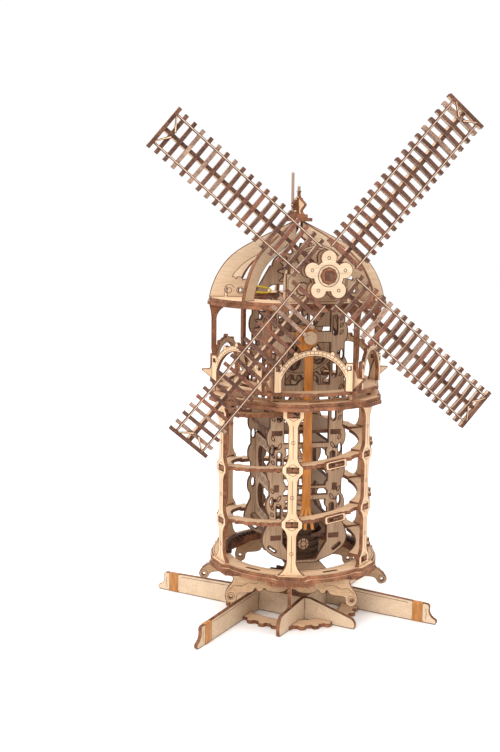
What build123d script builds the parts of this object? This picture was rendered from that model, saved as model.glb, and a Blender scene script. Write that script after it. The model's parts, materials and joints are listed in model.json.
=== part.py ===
from build123d import *
import os
from math import atan2, cos, degrees, pi, radians, sin

os.makedirs("parts", exist_ok=True)

# A laser-cut plywood tower windmill, in millimetres.
# The origin is on the floor on the tower's axis, +Z is up, and the windshaft
# points along -Y, so the sails turn in a plane that faces -Y.

# Stock
PLY = 3.0                   # plywood thickness
ROD_R = 3.0                 # dowel radius of every shaft
RUN_FIT = 0.05              # radial clearance of a shaft in its bearing
SLIP = 0.05                 # clearance each side of a tab in its slot

# How the parts of the tower are turned about +Z, in degrees
COLUMN_TURN = -16.0         # azimuth of the first column, from -Y towards +X
BAR_TURN = -41.4            # direction of the right base bar, from +X

# Base
BAR_HEIGHT = 20.0
BAR_OFFSET = 23.0           # of each bar's middle plane from the axis
BAR_LONG = 129.0
BAR_SHORT = 72.0
BAND_AT = 113.0             # rubber band's place along the long end
BAND_WIDTH = 9.5
BAND_WALL = 0.8
FLOOR_PLATE_R = 57.0
FLOOR_PLATE_HOLE_R = 44.0
SCROLL_REACH = 57.0         # the front scroll plate's distance from the axis
SCROLL_TOP = 47.2
RING_TOP = 53.2
BASE_RING_R = 73.5
BASE_RING_HOLE_R = 58.0
TEETH_RIM_R = 64.0

# Tower
COLUMN_R = 71.0             # middle plane of the columns
COLUMN_WAIST = 4.1          # half widths
COLUMN_LOBE = 9.0
COLUMN_FOOT = 11.6
RAMP_TAB = 9.4              # width of the ramp's tabs in the columns
FLIGHT_START = 58.5         # height of the first column slot of the helix
FLIGHT_RISE = 7.795         # rise from one column to the next
FLIGHTS = 17
FLIGHT_IN = 56.5
FLIGHT_OUT = 67.6
FLOOR_BOTTOM = 194.8        # balcony
FLOOR_R = 76.0
RIM_BOTTOM = 206.3
RIM_R = 73.0
RIM_HOLE_R = 60.0
HOLE_R = 54.0               # opening down the middle of balcony and gallery
DOME_RING_BOTTOM = 277.5
DOME_RING_R = 78.0
FRAME_Y = 37.0              # middle planes of the inner frames
FRAME_POST_X = 26.0

# Shafts, wheels and sails
MODULE = 2.5
SHAFT_Z = 307.0
PINION_TEETH = 12
GALLERY_TEETH = 32
LOWER_TEETH = 24
BRAKE_TEETH = 18
SAIL_Y = -92.0              # front of the spars
SAIL_R = 172.8
SAIL_TURN = 49.5            # rest angle of the first arm above the horizontal
SLATS = 18
SLAT_PITCH = 8.35
SLAT_HALF = 19.0
RAIL_AT = 13.6
BARREL_Y = -16.5
BARREL_R = 18.6
BEAM_HALF = 15.0

GALLERY_Z = SHAFT_Z - MODULE * (PINION_TEETH + GALLERY_TEETH) / 2
LOWER_Z = GALLERY_Z - MODULE * (PINION_TEETH + LOWER_TEETH) / 2
DOME_BASE = DOME_RING_BOTTOM + 2 * PLY


def save(piece, name):
    """Label one finished piece and write its STEP file."""
    piece.part.label = name
    export_step(piece.part, f"parts/{name}.step")


def compass(azimuth):
    """Unit vector away from the axis; azimuth runs from -Y towards +X."""
    return Vector(sin(radians(azimuth)), -cos(radians(azimuth)), 0)


def tangent_plane(azimuth, radius, height=0.0):
    """Upright plane facing outward: local X runs counter-clockwise, local Y is up."""
    out = compass(azimuth)
    return Plane(origin=out * radius + Vector(0, 0, height), x_dir=(-out.Y, out.X, 0), z_dir=out)


def radial_plane(azimuth):
    """Upright plane through the axis: local X runs outward, local Y is up."""
    out = compass(azimuth)
    return Plane(origin=(0, 0, 0), x_dir=out, z_dir=(out.Y, -out.X, 0))


def shaft_plane(y, height=0.0):
    """Upright plane across the windshaft, facing -Y: local X is +X, local Y is up."""
    return Plane(origin=(0, y, height), x_dir=(1, 0, 0), z_dir=(0, -1, 0))


def gear_face(teeth, phase):
    """Draw a coarse laser-cut gear; phase turns the first tooth from local +X."""
    pitch_r = MODULE * teeth / 2
    root_r = pitch_r - 1.15 * MODULE
    tip_r = pitch_r + 0.72 * MODULE
    flank = [(root_r, -2.3), (pitch_r, -1.5), (tip_r, -0.8), (tip_r, 0.8), (pitch_r, 1.5), (root_r, 2.3)]
    outline = []
    for tooth in range(teeth):
        turn = phase + tooth * 360 / teeth
        outline += [Vector(x, y).rotate(Axis.Z, turn) for x, y in flank]
    with BuildLine() as rim:
        Polyline(*outline, close=True)
    make_face(rim.edges())


def spoke_windows(count, inner_r, outer_r):
    """Cut rounded windows that leave a rim, a boss and spokes."""
    middle = (inner_r + outer_r) / 2
    reach = outer_r - inner_r
    width = min(2 * pi * middle / count * 0.62, reach * 0.9)
    with PolarLocations(middle, count):
        SlotOverall(reach, width, mode=Mode.SUBTRACT)


# ------------------------------------------------------------------ base bars

def bar_plane(direction, offset):
    along = Vector(cos(radians(direction)), sin(radians(direction)), 0)
    side = Vector(-along.Y, along.X, 0)
    return Plane(origin=side * offset, x_dir=along, z_dir=(along.Y, -along.X, 0))


def base_bar(direction, offset, slot_up, sloped):
    """One bar of the crossed base, half-lapped with the two bars that cross it."""
    short_top = 9.5 if sloped else 17.0
    slot_z = BAR_HEIGHT * (0.75 if slot_up else 0.25)
    with BuildPart() as bar:
        with BuildSketch(bar_plane(direction, offset)):
            with BuildLine():
                foot = Polyline((-BAR_SHORT, 0), (BAR_LONG, 0))
                toe = ThreePointArc(foot @ 1, (BAR_LONG + 1.6, 2.4), (BAR_LONG - 0.6, 5.0))
                heel = ThreePointArc(toe @ 1, (BAR_LONG - 4.6, 9.0), (BAR_LONG - 5.0, 14.0))
                crest = ThreePointArc(heel @ 1, (BAR_LONG - 5.6, 16.6), (BAR_LONG - 8.0, 17.6))
                back = Polyline(crest @ 1, (34, BAR_HEIGHT), (-30, BAR_HEIGHT))
                ramp = Polyline(back @ 1, (-BAR_SHORT + 4, short_top))
                ThreePointArc(ramp @ 1, (-BAR_SHORT - 0.5, short_top * 0.6), (-BAR_SHORT, 0))
            make_face()
            with Locations((BAR_OFFSET, slot_z), (-BAR_OFFSET, slot_z)):
                Rectangle(PLY + 2 * SLIP, BAR_HEIGHT / 2 + 0.1, mode=Mode.SUBTRACT)
            with Locations((BAND_AT, 0.5), (BAND_AT, BAR_HEIGHT - 1.5)):
                Rectangle(BAND_WIDTH, 1.0, mode=Mode.SUBTRACT)
            with Locations((BAND_AT, 18.0)):
                Rectangle(BAND_WIDTH, 2.0, mode=Mode.SUBTRACT)
        extrude(amount=PLY / 2, both=True)
    return bar


save(base_bar(BAR_TURN, BAR_OFFSET, True, True), "base_bar_right")
save(base_bar(BAR_TURN + 180, BAR_OFFSET, True, True), "base_bar_left")
save(base_bar(BAR_TURN - 90, -BAR_OFFSET, False, False), "base_bar_front")
save(base_bar(BAR_TURN + 90, -BAR_OFFSET, False, False), "base_bar_back")

# A wide rubber band round the long end of each bar
with BuildPart() as leg_bands:
    for direction, offset in (
        (BAR_TURN, BAR_OFFSET),
        (BAR_TURN + 180, BAR_OFFSET),
        (BAR_TURN - 90, -BAR_OFFSET),
        (BAR_TURN + 90, -BAR_OFFSET),
    ):
        middle = bar_plane(direction, offset)
        across = Plane(
            origin=middle.from_local_coords((BAND_AT - BAND_WIDTH / 2, 9.0, 0)),
            x_dir=middle.z_dir,
            z_dir=middle.x_dir,
        )
        with BuildSketch(across):
            RectangleRounded(PLY + 2 * BAND_WALL, 17.6, 0.7)
            Rectangle(PLY, 16.0, mode=Mode.SUBTRACT)
        extrude(amount=BAND_WIDTH)
save(leg_bands, "leg_bands")

# Scalloped plates on the floor between the bars
with BuildPart() as floor_plates:
    with BuildSketch():
        Circle(FLOOR_PLATE_R)
        with PolarLocations(FLOOR_PLATE_R, 30):
            Circle(3.6)
        Circle(FLOOR_PLATE_HOLE_R, mode=Mode.SUBTRACT)
        for direction in (BAR_TURN, BAR_TURN + 90):
            for offset in (BAR_OFFSET, -BAR_OFFSET):
                side = Vector(-sin(radians(direction)), cos(radians(direction)), 0) * offset
                with Locations(Location(side, (0, 0, direction))):
                    Rectangle(200, PLY + 2 * SLIP, mode=Mode.SUBTRACT)
        # the square plate that locks the four bars in the middle
        with Locations(Location((0, 0, 0), (0, 0, BAR_TURN))):
            Rectangle(2 * BAR_OFFSET - PLY - 2 * SLIP, 2 * BAR_OFFSET - PLY - 2 * SLIP)
    extrude(amount=PLY)
    # the pivot plate of the winding axle, on top of the crossed bars
    with BuildSketch(Plane.XY.offset(BAR_HEIGHT)):
        with Locations(Location((0, 0, 0), (0, 0, BAR_TURN))):
            RectangleRounded(2 * BAR_OFFSET + PLY, 2 * BAR_OFFSET + PLY, 5.0)
        with Locations((0, BARREL_Y)):
            Circle(4.0 + RUN_FIT, mode=Mode.SUBTRACT)
    extrude(amount=PLY)
save(floor_plates, "floor_plates")


# --------------------------------------------------------- base scroll plates

CURL = (
    (-5.8, 47.2),
    (-6.6, 42.8),
    (-2.4, 36.2),
    (0.0, 29.0),
    (-2.0, 23.6),
    (-6.4, 22.3),
    (-10.0, 25.4),
    (-10.8, 29.8),
    (-17.0, 31.6),
    (-26.0, 36.6),
)
LOW_CURL = (
    (-11.0, 44.0),
    (-9.6, 38.6),
    (-3.2, 33.4),
    (-0.4, 28.2),
    (-3.6, 24.2),
    (-8.0, 24.6),
    (-10.4, 28.4),
    (-17.0, 30.4),
    (-26.0, 33.0),
)


def scroll_end(reach, side, curl):
    """A curl at the end of a base scroll plate: one flowing outline and a pierced eye."""
    points = [(side * (reach + along), height) for along, height in curl]
    with BuildLine() as edge:
        flow = Spline(*points)
        Polyline(flow @ 1, (side * (reach - 26.0), points[0][1]), points[0])
    make_face(edge.edges())
    with Locations((side * (reach - 5.0), 28.2)):
        Circle(1.4, mode=Mode.SUBTRACT)


with BuildPart() as scroll_plates:
    for azimuth in (COLUMN_TURN, COLUMN_TURN + 180):
        with BuildSketch(tangent_plane(azimuth, SCROLL_REACH)):
            with Locations((0, (SCROLL_TOP + 36.0) / 2)):
                Rectangle(80.0, SCROLL_TOP - 36.0)
            for side in (-1, 1):
                scroll_end(57.0, side, CURL)
                with Locations((side * 27.0, 36.4)):
                    Circle(3.2)
                with Locations((side * 13.0, 36.0)):
                    Ellipse(9.0, 3.0)
        extrude(amount=PLY / 2, both=True)
    for side in (-1, 1):
        with BuildSketch(tangent_plane(COLUMN_TURN, 0.0)):
            with Locations((side * 67.0, (SCROLL_TOP + 36.0) / 2)):
                Rectangle(16.0, SCROLL_TOP - 36.0)
            scroll_end(86.0, side, LOW_CURL)
        extrude(amount=PLY / 2, both=True)
save(scroll_plates, "scroll_plates")

# Radial props that stand on the bars and carry the ring at front and back
with BuildPart() as base_props:
    for azimuth in (COLUMN_TURN - 1.0, COLUMN_TURN + 179.0):
        with BuildSketch(radial_plane(azimuth)):
            with BuildLine():
                Polyline(
                    (59.0, 21.0),
                    (59.0, 44.0),
                    (74.0, 44.0),
                    (72.0, 38.0),
                    (67.0, 34.0),
                    (64.5, 21.0),
                    close=True,
                )
            make_face()
        extrude(amount=PLY / 2, both=True)
save(base_props, "base_props")


# ------------------------------------------------------------------ base ring

def ring_outline(radius, lobe_width, lobe_reach):
    """Round outline with a flat lobe in front of every column."""
    corners = (
        (radius - 14, -lobe_width),
        (radius - 2.5, -lobe_width),
        (lobe_reach, -lobe_width * 0.72),
        (lobe_reach, lobe_width * 0.72),
        (radius - 2.5, lobe_width),
        (radius - 14, lobe_width),
    )
    Circle(radius)
    for column in range(6):
        turn = COLUMN_TURN - 90 + 60 * column
        with BuildLine() as lug:
            Polyline(*[Vector(x, y).rotate(Axis.Z, turn) for x, y in corners], close=True)
        make_face(lug.edges())


with BuildPart() as base_ring_lower:
    with BuildSketch(Plane.XY.offset(SCROLL_TOP)):
        ring_outline(BASE_RING_R + 1.5, 18.0, 77.5)
        Circle(BASE_RING_HOLE_R, mode=Mode.SUBTRACT)
    extrude(amount=PLY)
    for column in range(6):
        out = compass(COLUMN_TURN + 60 * column)
        lug = Plane(
            origin=out * 68.0 + Vector(0, 0, SCROLL_TOP - PLY),
            x_dir=(-out.Y, out.X, 0),
            z_dir=(0, 0, 1),
        )
        with BuildSketch(lug):
            Rectangle(40.0, 15.0)
            with Locations((-20.0, -7.5), (20.0, -7.5)):
                Circle(4.0, mode=Mode.SUBTRACT)
        extrude(amount=PLY)
save(base_ring_lower, "base_ring_lower")

with BuildPart() as base_ring_upper:
    with BuildSketch(Plane.XY.offset(SCROLL_TOP + PLY)):
        ring_outline(BASE_RING_R, 15.0, 76.5)
        Circle(BASE_RING_HOLE_R, mode=Mode.SUBTRACT)
        with PolarLocations(COLUMN_R, 6, start_angle=COLUMN_TURN - 90):
            Rectangle(PLY + 2 * SLIP, 12.0 + 2 * SLIP, mode=Mode.SUBTRACT)
        with PolarLocations(66.0, 6, start_angle=COLUMN_TURN - 60):
            SlotOverall(14.0, 2.2, rotation=90, mode=Mode.SUBTRACT)
    extrude(amount=PLY)
save(base_ring_upper, "base_ring_upper")

# Half ring with inner teeth, lying inside the foot of the rear columns
with BuildPart() as toothed_ring:
    with BuildSketch(Plane.XY.offset(RING_TOP)):
        Circle(TEETH_RIM_R)
        Circle(TEETH_RIM_R - 4.5, mode=Mode.SUBTRACT)
        with PolarLocations(TEETH_RIM_R - 5.0, 60):
            Trapezoid(3.0, 4.6, 72, rotation=90)
        with Locations((0, -50.0)):
            Rectangle(150.0, 100.0, mode=Mode.SUBTRACT)
    extrude(amount=PLY - 0.2)
save(toothed_ring, "toothed_ring")


# ------------------------------------------------------- columns and the ramp

def slot_heights(column):
    """Heights where the rising ramp passes through one of the six columns."""
    first = (column + 5) % 6
    return [FLIGHT_START + FLIGHT_RISE * step for step in range(first, FLIGHTS + 1, 6)]


def lobe(height, half_height):
    """Widening of a column round one slot, with hollow shoulders."""
    with BuildLine() as edge:
        top = ThreePointArc(
            (COLUMN_WAIST, height + half_height + 5.5),
            (COLUMN_WAIST + 1.1, height + half_height + 2.2),
            (COLUMN_LOBE - 2.2, height + half_height - 0.4),
        )
        side = Polyline(top @ 1, (COLUMN_LOBE, height + 2.6), (COLUMN_LOBE, height - 2.6))
        under = Line(side @ 1, (COLUMN_LOBE - 2.2, height - half_height + 0.4))
        ThreePointArc(
            under @ 1,
            (COLUMN_WAIST + 1.1, height - half_height - 2.2),
            (COLUMN_WAIST, height - half_height - 5.5),
        )
        mirror(about=Plane.YZ)
        Line((-COLUMN_WAIST, height + half_height + 5.5), (COLUMN_WAIST, height + half_height + 5.5))
        Line((-COLUMN_WAIST, height - half_height - 5.5), (COLUMN_WAIST, height - half_height - 5.5))
    make_face(edge.edges())


for column in range(6):
    with BuildPart() as tower_column:
        with BuildSketch(tangent_plane(COLUMN_TURN + 60 * column, COLUMN_R)):
            with Locations((0, (RING_TOP + FLOOR_BOTTOM) / 2)):
                Rectangle(2 * COLUMN_WAIST, FLOOR_BOTTOM - RING_TOP)
            for height in slot_heights(column):
                lobe(height, 5.0)
            for height, grow in ((RING_TOP, 1), (FLOOR_BOTTOM, -1)):
                with BuildLine():
                    rise = ThreePointArc(
                        (COLUMN_WAIST, height + grow * 16.0),
                        (COLUMN_WAIST + 1.7, height + grow * 6.0),
                        (COLUMN_FOOT, height),
                    )
                    mirror(about=Plane.YZ)
                    Line((COLUMN_FOOT, height), (-COLUMN_FOOT, height))
                    Line((COLUMN_WAIST, height + grow * 16.0), (-COLUMN_WAIST, height + grow * 16.0))
                make_face()
            with Locations((0, RING_TOP - PLY / 2)):
                Rectangle(12.0, PLY)
            with Locations((0, FLOOR_BOTTOM + 20)):
                Rectangle(40.0, 40.0, mode=Mode.SUBTRACT)
            with Locations((0, RING_TOP - PLY - 20)):
                Rectangle(40.0, 40.0, mode=Mode.SUBTRACT)
            with Locations((-20, RING_TOP - PLY / 2), (20, RING_TOP - PLY / 2)):
                Rectangle(28.0, PLY, mode=Mode.SUBTRACT)
            with Locations(*[(0, height) for height in slot_heights(column)]):
                Rectangle(RAMP_TAB + 0.4, 4.5, mode=Mode.SUBTRACT)
        extrude(amount=PLY / 2, both=True)
    save(tower_column, f"column_{column + 1}")


def flight_plane(flight):
    """Plane of one ramp board, tilted along its chord."""
    out = compass(COLUMN_TURN - 360 + 60 * (flight + 1.5))
    slope = FLIGHT_RISE / COLUMN_R
    along = Vector(-out.Y, out.X, slope).normalized()
    middle = FLIGHT_START + FLIGHT_RISE * (flight + 0.5)
    return Plane(origin=(0, 0, middle), x_dir=out, z_dir=out.cross(along))


for turn in range(3):
    with BuildPart() as ramp_turn:
        for flight in range(6 * turn, min(6 * turn + 6, FLIGHTS)):
            with BuildSketch(flight_plane(flight)):
                Circle(FLIGHT_OUT)
                with PolarLocations(FLIGHT_OUT - 0.6, 6, start_angle=-25, angular_range=50, endpoint=True):
                    Circle(2.6)
                with PolarLocations(COLUMN_R - 1.5, 2, start_angle=-30, angular_range=60, endpoint=True):
                    Rectangle(7.0, RAMP_TAB - 0.4)
                Circle(FLIGHT_IN, mode=Mode.SUBTRACT)
                with BuildLine(mode=Mode.PRIVATE) as wedge:
                    Polyline(
                        (20.0 * cos(radians(29.85)), -20.0 * sin(radians(29.85))),
                        (100.0 * cos(radians(29.85)), -100.0 * sin(radians(29.85))),
                        (100.0 * cos(radians(29.85)), 100.0 * sin(radians(29.85))),
                        (20.0 * cos(radians(29.85)), 20.0 * sin(radians(29.85))),
                        close=True,
                    )
                add(make_face(wedge.edges(), mode=Mode.PRIVATE), mode=Mode.INTERSECT)
            extrude(amount=PLY / 2, both=True)
    save(ramp_turn, f"ramp_turn_{turn + 1}")


# Clips on the outer edge of the boards between the first two columns
with BuildPart() as ramp_clips:
    for flight in (5, 11):
        board = flight_plane(flight)
        front = Plane(
            origin=board.from_local_coords((FLIGHT_OUT + 2.2, 0, 0)),
            x_dir=board.y_dir,
            z_dir=board.x_dir,
        )
        with BuildSketch(front):
            RectangleRounded(20.5, 7.2, 2.2)
            RectangleRounded(15.0, 3.8, 1.0, mode=Mode.SUBTRACT)
        extrude(amount=PLY)
save(ramp_clips, "ramp_clips")


# ------------------------------------------------------------ the inner frame

RUNGS = ((112.0, 5.0), (121.0, 3.2), (158.0, 5.0), (LOWER_Z, 9.0), (GALLERY_Z, 10.0))
SHELVES = (75.5, 168.0)
FRAME_FOOT = 70.0
FRAME_EAR = (
    (32.5, 93.0),
    (36.4, 84.0),
    (38.2, 74.0),
    (33.4, 65.0),
    (22.0, 58.0),
    (10.0, RING_TOP),
)
POST_SLOTS = (98.0, 144.0, 188.0, 226.0, 262.0)    # long slots in the frame posts
PEG = 5.0                   # height of the side plates' pegs
PEG_Z = 121.0
FRAME_TOP = DOME_RING_BOTTOM
TAB = 8.0


def ladder(y):
    """Front or rear plate of the inner frame: two scalloped posts and their rungs."""
    with BuildPart() as frame:
        with BuildSketch(shaft_plane(y + PLY / 2)):
            for side in (-1, 1):
                with Locations((side * FRAME_POST_X, (FRAME_FOOT + FRAME_TOP) / 2)):
                    Rectangle(13.0, FRAME_TOP - FRAME_FOOT)
                with GridLocations(0, 30.0, 1, 7):
                    with Locations((side * (FRAME_POST_X + 4.5), 166.0)):
                        Ellipse(4.8, 9.5)
            for height, depth in RUNGS:
                with Locations((0, height)):
                    Rectangle(2 * FRAME_POST_X, depth)
            with Locations((0, RING_TOP + 1.6)):
                Rectangle(24.0, 3.2)
            with Locations((0, LOWER_Z), (0, GALLERY_Z)):
                Circle(10.5)
            with Locations((0, LOWER_Z), (0, GALLERY_Z)):
                Circle(ROD_R + RUN_FIT, mode=Mode.SUBTRACT)
            for side in (-1, 1):
                with BuildLine() as ear:
                    flow = Spline(*[(side * x, z) for x, z in FRAME_EAR])
                    Polyline(
                        flow @ 1,
                        (side * 10.0, RING_TOP + 3.2),
                        (side * 19.5, 72.0),
                        (side * 19.5, 93.0),
                        flow @ 0,
                    )
                make_face(ear.edges())
                with Locations(Location((side * 29.0, 67.0), (0, 0, side * 38.0))):
                    SlotOverall(9.0, 2.2, mode=Mode.SUBTRACT)
                with Locations(*[(side * 19.6, 92.0 + 15.0 * step) for step in range(5)]):
                    Ellipse(2.2, 4.6)
                with Locations(*[(side * 24.0, height) for height in POST_SLOTS]):
                    SlotOverall(17.0, 3.6, rotation=90, mode=Mode.SUBTRACT)
                with Locations(*[(side * 30.0, height + 11.0) for height in POST_SLOTS]):
                    Ellipse(1.5, 4.2, mode=Mode.SUBTRACT)
                with Locations(*[(side * 27.0, height + 12.5) for height in POST_SLOTS]):
                    Circle(1.0, mode=Mode.SUBTRACT)
                with Locations(*[(side * FRAME_POST_X, shelf + PLY / 2) for shelf in SHELVES]):
                    Rectangle(TAB + 2 * SLIP, PLY + 2 * SLIP, mode=Mode.SUBTRACT)
                with Locations((side * FRAME_POST_X, PEG_Z)):
                    Rectangle(PLY + 2 * SLIP, PEG + 2 * SLIP, mode=Mode.SUBTRACT)
            with Locations((-30.0, 205.0)):
                Circle(2.0, mode=Mode.SUBTRACT)
        extrude(amount=PLY)
    return frame


save(ladder(-FRAME_Y), "frame_front")
save(ladder(FRAME_Y), "frame_rear")

with BuildPart() as frame_side_plates:
    for side in (-1, 1):
        upright = Plane(origin=(side * FRAME_POST_X - PLY / 2, 0, 0), x_dir=(0, 1, 0), z_dir=(1, 0, 0))
        with BuildSketch(upright):
            with Locations((0, 118.0)):
                Rectangle(2 * FRAME_Y - PLY - 0.1, 78.0)
            with Locations((0, 101.0), (0, 136.0)):
                SlotOverall(52.0, 22.0, mode=Mode.SUBTRACT)
            with Locations((FRAME_Y - 1.0, PEG_Z), (1.0 - FRAME_Y, PEG_Z)):
                Rectangle(PLY + 2.0, PEG)
        extrude(amount=PLY)
save(frame_side_plates, "frame_side_plates")

with BuildPart() as frame_shelves:
    for shelf in SHELVES:
        with BuildSketch(Plane.XY.offset(shelf)):
            Circle(33.0)
            Rectangle(2 * FRAME_POST_X + 12.0, 2 * FRAME_Y - PLY - 0.1)
            with Locations((0, FRAME_Y + 40.0 - PLY / 2 - 0.05), (0, -FRAME_Y - 40.0 + PLY / 2 + 0.05)):
                Rectangle(100.0, 80.0, mode=Mode.SUBTRACT)
            for side in (-1, 1):
                with Locations((side * FRAME_POST_X, FRAME_Y - 1.0), (side * FRAME_POST_X, 1.0 - FRAME_Y)):
                    Rectangle(TAB, PLY + 2.0)
            with Locations((0, BARREL_Y)):
                Circle(BARREL_R + 1.4 if shelf < 100 else 4.0 + RUN_FIT, mode=Mode.SUBTRACT)
            with Locations((0, 12.0)):
                SlotOverall(34.0, 22.0, mode=Mode.SUBTRACT)
        extrude(amount=PLY)
    # the beam across the base ring that carries the frame and the winding axle
    with BuildSketch(Plane.XY.offset(RING_TOP - PLY)):
        Circle(BASE_RING_HOLE_R - SLIP)
        Rectangle(2 * BEAM_HALF, 130.0, mode=Mode.INTERSECT)
        with Locations((0, BARREL_Y)):
            Circle(4.0 + RUN_FIT, mode=Mode.SUBTRACT)
    extrude(amount=PLY)
save(frame_shelves, "frame_shelves")


# -------------------------------------------------------- balcony and gallery

with BuildPart() as balcony_floor:
    for ply, grow in ((0, 1.5), (1, 0.0)):
        with BuildSketch(Plane.XY.offset(FLOOR_BOTTOM + ply * PLY)):
            ring_outline(FLOOR_R - 2.0 + grow, 17.0, FLOOR_R + 1.5 + grow)
            Circle(HOLE_R, mode=Mode.SUBTRACT)
            with PolarLocations(66.0, 12, start_angle=COLUMN_TURN - 75):
                SlotOverall(9.0, 2.4, rotation=90, mode=Mode.SUBTRACT)
        extrude(amount=PLY)
save(balcony_floor, "balcony_floor")

FENCE_R = 67.0
POST_INNER = 66.0
POST_OUTER = 72.5
ARCH_Z = 211.5              # centre height of the fence arches
ARCH_R = 33.5
ARCH_HOLE_R = 28.2
GALLERY_TURN = -2.5         # azimuth of the front fence panel

with BuildPart() as balcony_rim:
    with BuildSketch(Plane.XY.offset(RIM_BOTTOM)):
        Circle(RIM_R)
        with PolarLocations(RIM_R - 3.0, 12, start_angle=GALLERY_TURN - 90):
            Circle(5.0)
        Circle(RIM_HOLE_R, mode=Mode.SUBTRACT)
        with PolarLocations((POST_INNER + POST_OUTER) / 2, 6, start_angle=GALLERY_TURN - 60):
            Rectangle(POST_OUTER - POST_INNER + 2 * SLIP, PLY + 2 * SLIP, mode=Mode.SUBTRACT)
    extrude(amount=PLY)
save(balcony_rim, "balcony_rim")

def post_face():
    """Outline of a gallery post: a foot, an outward horn, a stem and a bracket."""
    with BuildLine() as edge:
        foot = Polyline(
            (POST_INNER, FLOOR_BOTTOM + 2 * PLY),
            (POST_OUTER, FLOOR_BOTTOM + 2 * PLY),
            (POST_OUTER, RIM_BOTTOM + PLY),
        )
        sweep_up = ThreePointArc(foot @ 1, (77.0, 213.6), (84.0, 219.4))
        horn = Polyline(sweep_up @ 1, (84.0, 220.8), (77.4, 221.0))
        waist = ThreePointArc(horn @ 1, (75.4, 228.0), (75.8, 238.0))
        stem = Line(waist @ 1, (75.8, 262.0))
        bracket = ThreePointArc(stem @ 1, (76.2, 269.5), (77.5, DOME_RING_BOTTOM - 2.0))
        head = Polyline(
            bracket @ 1,
            (77.5, DOME_RING_BOTTOM),
            (63.0, DOME_RING_BOTTOM),
            (63.0, DOME_RING_BOTTOM - 2.0),
        )
        inner = ThreePointArc(head @ 1, (69.6, 270.5), (71.6, 262.0))
        Polyline(inner @ 1, (71.6, 228.0), (67.5, 216.0), foot @ 0)
    make_face(edge.edges())


# Six upright fins from the balcony floor to the dome ring, each with a horn
with BuildPart() as gallery_posts:
    with BuildSketch(*[radial_plane(GALLERY_TURN + 30 + 60 * post).offset(-PLY / 2) for post in range(6)]):
        post_face()
    extrude(amount=PLY)
save(gallery_posts, "gallery_posts")

# Arched fence panels between the posts
with BuildPart() as fence_panels:
    with BuildSketch(*[tangent_plane(GALLERY_TURN + 60 * panel, FENCE_R - PLY / 2) for panel in range(6)]):
        rim_top = RIM_BOTTOM + PLY
        with Locations((0, ARCH_Z)):
            Circle(ARCH_R)
            Circle(ARCH_HOLE_R, mode=Mode.SUBTRACT)
        with Locations((-30.2, 221.5), (30.2, 221.5)):
            Rectangle(6.6, 24.0)
        with Locations((-15.5, 241.2), (0.0, 245.3), (15.5, 241.2)):
            Circle(2.2)
        with Locations((0, rim_top - 40.0)):
            Rectangle(90.0, 80.0, mode=Mode.SUBTRACT)
        with Locations((-30.2, 229.0), (30.2, 229.0)):
            Rectangle(2.8, 2.8, mode=Mode.SUBTRACT)
    extrude(amount=PLY)
save(fence_panels, "fence_panels")


# ------------------------------------------------------------------- the dome

with BuildPart() as dome_ring_lower:
    with BuildSketch(Plane.XY.offset(DOME_RING_BOTTOM)):
        Circle(DOME_RING_R)
        with PolarLocations(DOME_RING_R - 2.0, 6, start_angle=-60):
            Circle(4.0)
        Circle(46.0, mode=Mode.SUBTRACT)
    extrude(amount=PLY)
save(dome_ring_lower, "dome_ring_lower")

with BuildPart() as dome_ring_upper:
    with BuildSketch(Plane.XY.offset(DOME_RING_BOTTOM + PLY)):
        Circle(DOME_RING_R - 0.6)
        Circle(48.0, mode=Mode.SUBTRACT)
    extrude(amount=PLY)
save(dome_ring_upper, "dome_ring_upper")

# Profile of a dome rib as (distance from the axis, height), from the foot to the crown
RIB_OUTER = (
    (77.5, DOME_BASE),
    (75.4, 292.0),
    (70.5, 303.5),
    (63.5, 314.0),
    (54.4, 322.6),
    (42.2, 330.2),
    (24.0, 339.6),
    (5.0, 348.9),
)
RIB_INNER = (
    (64.4, DOME_BASE),
    (63.6, 287.9),
    (59.5, 297.5),
    (53.9, 305.9),
    (46.8, 312.7),
    (36.1, 319.3),
    (18.4, 328.4),
    (5.0, 335.5),
)
REAR_SHARE = 0.5            # the rear rib is this much of the others' width
REAR_RIB = 180
SIDE_RIBS = (84, 264)


def rib_face(share, with_web):
    """Outline of one dome rib; a web with a leafy top widens the foot of a side rib."""
    inner = [Vector(*a) + (Vector(*b) - Vector(*a)) * share for a, b in zip(RIB_OUTER, RIB_INNER)]
    with BuildLine() as edge:
        outside = Spline(*RIB_OUTER)
        inside = Spline(*inner)
        Line(outside @ 0, inside @ 0)
        Line(outside @ 1, inside @ 1)
    make_face(edge.edges())
    if with_web:
        with Locations((52.0, (DOME_BASE + 298.0) / 2)):
            Rectangle(20.0, 298.0 - DOME_BASE)
        with Locations((57.0, 298.0), (51.5, 298.0), (46.0, 296.0)):
            Circle(3.0)
        with Locations((42.5, 289.0)):
            Circle(3.6)
        with Locations((50.6, 289.0)):
            Rectangle(2.8, 2.8, mode=Mode.SUBTRACT)


with BuildPart() as dome_ribs:
    for azimuth in (42, 84, 130, REAR_RIB, 222, 264, 310):
        with BuildSketch(radial_plane(azimuth)):
            rib_face(REAR_SHARE if azimuth == REAR_RIB else 1.0, azimuth in SIDE_RIBS)
        extrude(amount=PLY / 2, both=True)
save(dome_ribs, "dome_ribs")

BOARD_Y = -59.0             # back face of the board behind the hub
BOARD_WIDTH = 52.0
BOARD_ROUND = 23.4          # radius of its round top
BOSS_R = 5.2                # the four discs on its front

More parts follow.
